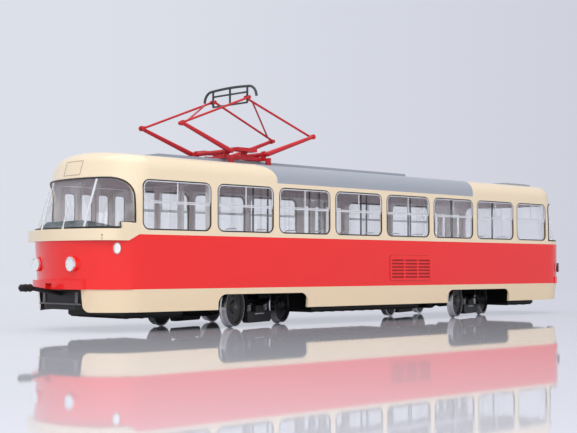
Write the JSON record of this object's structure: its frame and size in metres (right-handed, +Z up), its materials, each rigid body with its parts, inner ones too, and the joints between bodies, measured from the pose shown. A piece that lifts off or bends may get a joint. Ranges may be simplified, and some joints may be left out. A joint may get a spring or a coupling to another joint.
{
  "type": "scale model tram",
  "caption": "Collector's scale model of a single-ended bogie tram with glazed saloon, turning bogies, rolling wheelsets and a diamond pantograph that raises and folds.",
  "frame": {"origin": "on the floor under the model, midway between the two coupler tips", "axes": "+X forward along the tram, +Y to the driver's left, +Z up"},
  "size_m": [0.3512, 0.0586, 0.1059],
  "materials": {
    "red_paint": "gloss painted plastic",
    "cream_paint": "gloss painted plastic",
    "grey_paint": "satin painted plastic",
    "clear_glazing": "clear moulded plastic",
    "silver_trim": "satin",
    "black_plastic": "matt moulded",
    "black_metal": "matt painted die-casting",
    "lamp_chrome": "polished",
    "lamp_lens": "clear",
    "turn_lens": "gloss",
    "tail_lens": "gloss translucent",
    "interior_grey": "satin moulded",
    "seat_plastic": "satin moulded",
    "desk_plastic": "satin moulded",
    "wheel_steel": "turned",
    "pantograph_red": "satin painted",
    "head_grey": "satin painted"
  },
  "bodies": {
    "car": {"aprons": "black_plastic", "bumpers": "red_paint", "cab_partition": "interior_grey", "corner_skirts": "cream_paint", "couplers": "black_plastic", "door_front": "red_paint", "door_glass": "clear_glazing", "door_middle": "red_paint", "door_rear": "red_paint", "driver_desk": "desk_plastic", "floor_pan": "black_metal", "front_belt": "cream_paint", "front_panel": "red_paint", "front_window_frame": "cream_paint", "grab_poles": "black_plastic", "headlamp_housings": "red_paint", "headlamp_lenses": "lamp_lens", "headlamp_rims": "lamp_chrome", "pantograph_base": "pantograph_red", "rear_panel": "red_paint", "rear_window": "clear_glazing", "rear_window_frame": "cream_paint", "roof_board": "grey_paint", "roof_box": "grey_paint", "roof_front": "cream_paint", "roof_middle": "grey_paint", "roof_rear": "cream_paint", "seats": "seat_plastic", "side_glass_left": "clear_glazing", "side_glass_right": "clear_glazing", "side_panel_left": "red_paint", "side_panel_right": "red_paint", "skirt_left": "cream_paint", "skirt_right": "cream_paint", "tail_lamps": "tail_lens", "turn_lamps": "turn_lens", "underfloor_boxes": "black_plastic", "vent_grille": "red_paint", "window_bars": "silver_trim", "window_wall_left": "cream_paint", "window_wall_right": "cream_paint", "windscreen": "clear_glazing", "wipers": "silver_trim"},
    "bogie_front": {"bogie_front_frame": "black_metal", "bogie_front_motors": "black_metal", "bogie_front_track_brakes": "black_metal"},
    "bogie_rear": {"bogie_rear_frame": "black_metal", "bogie_rear_motors": "black_metal", "bogie_rear_track_brakes": "black_metal"},
    "pantograph_head": {"pantograph_head": "head_grey"},
    "pantograph_lower_front": {"pantograph_lower_front": "pantograph_red"},
    "pantograph_lower_rear": {"pantograph_lower_rear": "pantograph_red"},
    "pantograph_upper_front": {"pantograph_upper_front": "pantograph_red"},
    "pantograph_upper_rear": {"pantograph_upper_rear": "pantograph_red"},
    "wheelset_front_1": {"wheelset_front_1": "wheel_steel"},
    "wheelset_front_2": {"wheelset_front_2": "wheel_steel"},
    "wheelset_rear_1": {"wheelset_rear_1": "wheel_steel"},
    "wheelset_rear_2": {"wheelset_rear_2": "wheel_steel"}
  },
  "joints": [
    {"name": "bogie_front_turn", "type": "hinge", "parent": "car", "child": "bogie_front", "pos_m": [0.0744, 0, 0.0173], "axis": [0, 0, 1], "range_deg": [-40, 0]},
    {"name": "wheelset_front_1_roll", "type": "hinge", "parent": "bogie_front", "child": "wheelset_front_1", "pos_m": [0.09517, 0.00756, 0.0086], "axis": [-0.342, 0.9397, 0], "continuous": true},
    {"name": "wheelset_front_2_roll", "type": "hinge", "parent": "bogie_front", "child": "wheelset_front_2", "pos_m": [0.05363, -0.00756, 0.0086], "axis": [-0.342, 0.9397, 0], "continuous": true},
    {"name": "bogie_rear_turn", "type": "hinge", "parent": "car", "child": "bogie_rear", "pos_m": [-0.0744, 0, 0.0173], "axis": [0, 0, 1], "range_deg": [-40, 0]},
    {"name": "wheelset_rear_1_roll", "type": "hinge", "parent": "bogie_rear", "child": "wheelset_rear_1", "pos_m": [-0.05363, 0.00756, 0.0086], "axis": [-0.342, 0.9397, 0], "continuous": true},
    {"name": "wheelset_rear_2_roll", "type": "hinge", "parent": "bogie_rear", "child": "wheelset_rear_2", "pos_m": [-0.09517, -0.00756, 0.0086], "axis": [-0.342, 0.9397, 0], "continuous": true},
    {"name": "pantograph_raise", "type": "hinge", "parent": "car", "child": "pantograph_lower_front", "pos_m": [0.0801, 0, 0.07545], "axis": [0, -1, 0], "range_deg": [-17, 30]},
    {"name": "pantograph_lower_rear_follow", "type": "hinge", "parent": "car", "child": "pantograph_lower_rear", "pos_m": [0.0583, 0, 0.07545], "axis": [0, 1, 0], "range_deg": [-17, 30]},
    {"name": "pantograph_upper_front_follow", "type": "hinge", "parent": "pantograph_lower_front", "child": "pantograph_upper_front", "pos_m": [0.10753, 0, 0.08516], "axis": [0, 1, 0], "range_deg": [-29.51, 52]},
    {"name": "pantograph_upper_rear_follow", "type": "hinge", "parent": "pantograph_lower_rear", "child": "pantograph_upper_rear", "pos_m": [0.03087, 0, 0.08516], "axis": [0, -1, 0], "range_deg": [-29.51, 52]},
    {"name": "pantograph_head_follow", "type": "hinge", "parent": "pantograph_upper_front", "child": "pantograph_head", "pos_m": [0.0692, 0, 0.09991], "axis": [0, 1, 0], "range_deg": [-22, 12.51]}
  ],
  "couplings": [
    {"joint": "pantograph_lower_rear_follow", "follows": "pantograph_raise", "ratio": 1},
    {"joint": "pantograph_upper_front_follow", "follows": "pantograph_raise", "ratio": 1.73},
    {"joint": "pantograph_upper_rear_follow", "follows": "pantograph_raise", "ratio": 1.73},
    {"joint": "pantograph_head_follow", "follows": "pantograph_raise", "ratio": -0.73}
  ]
}
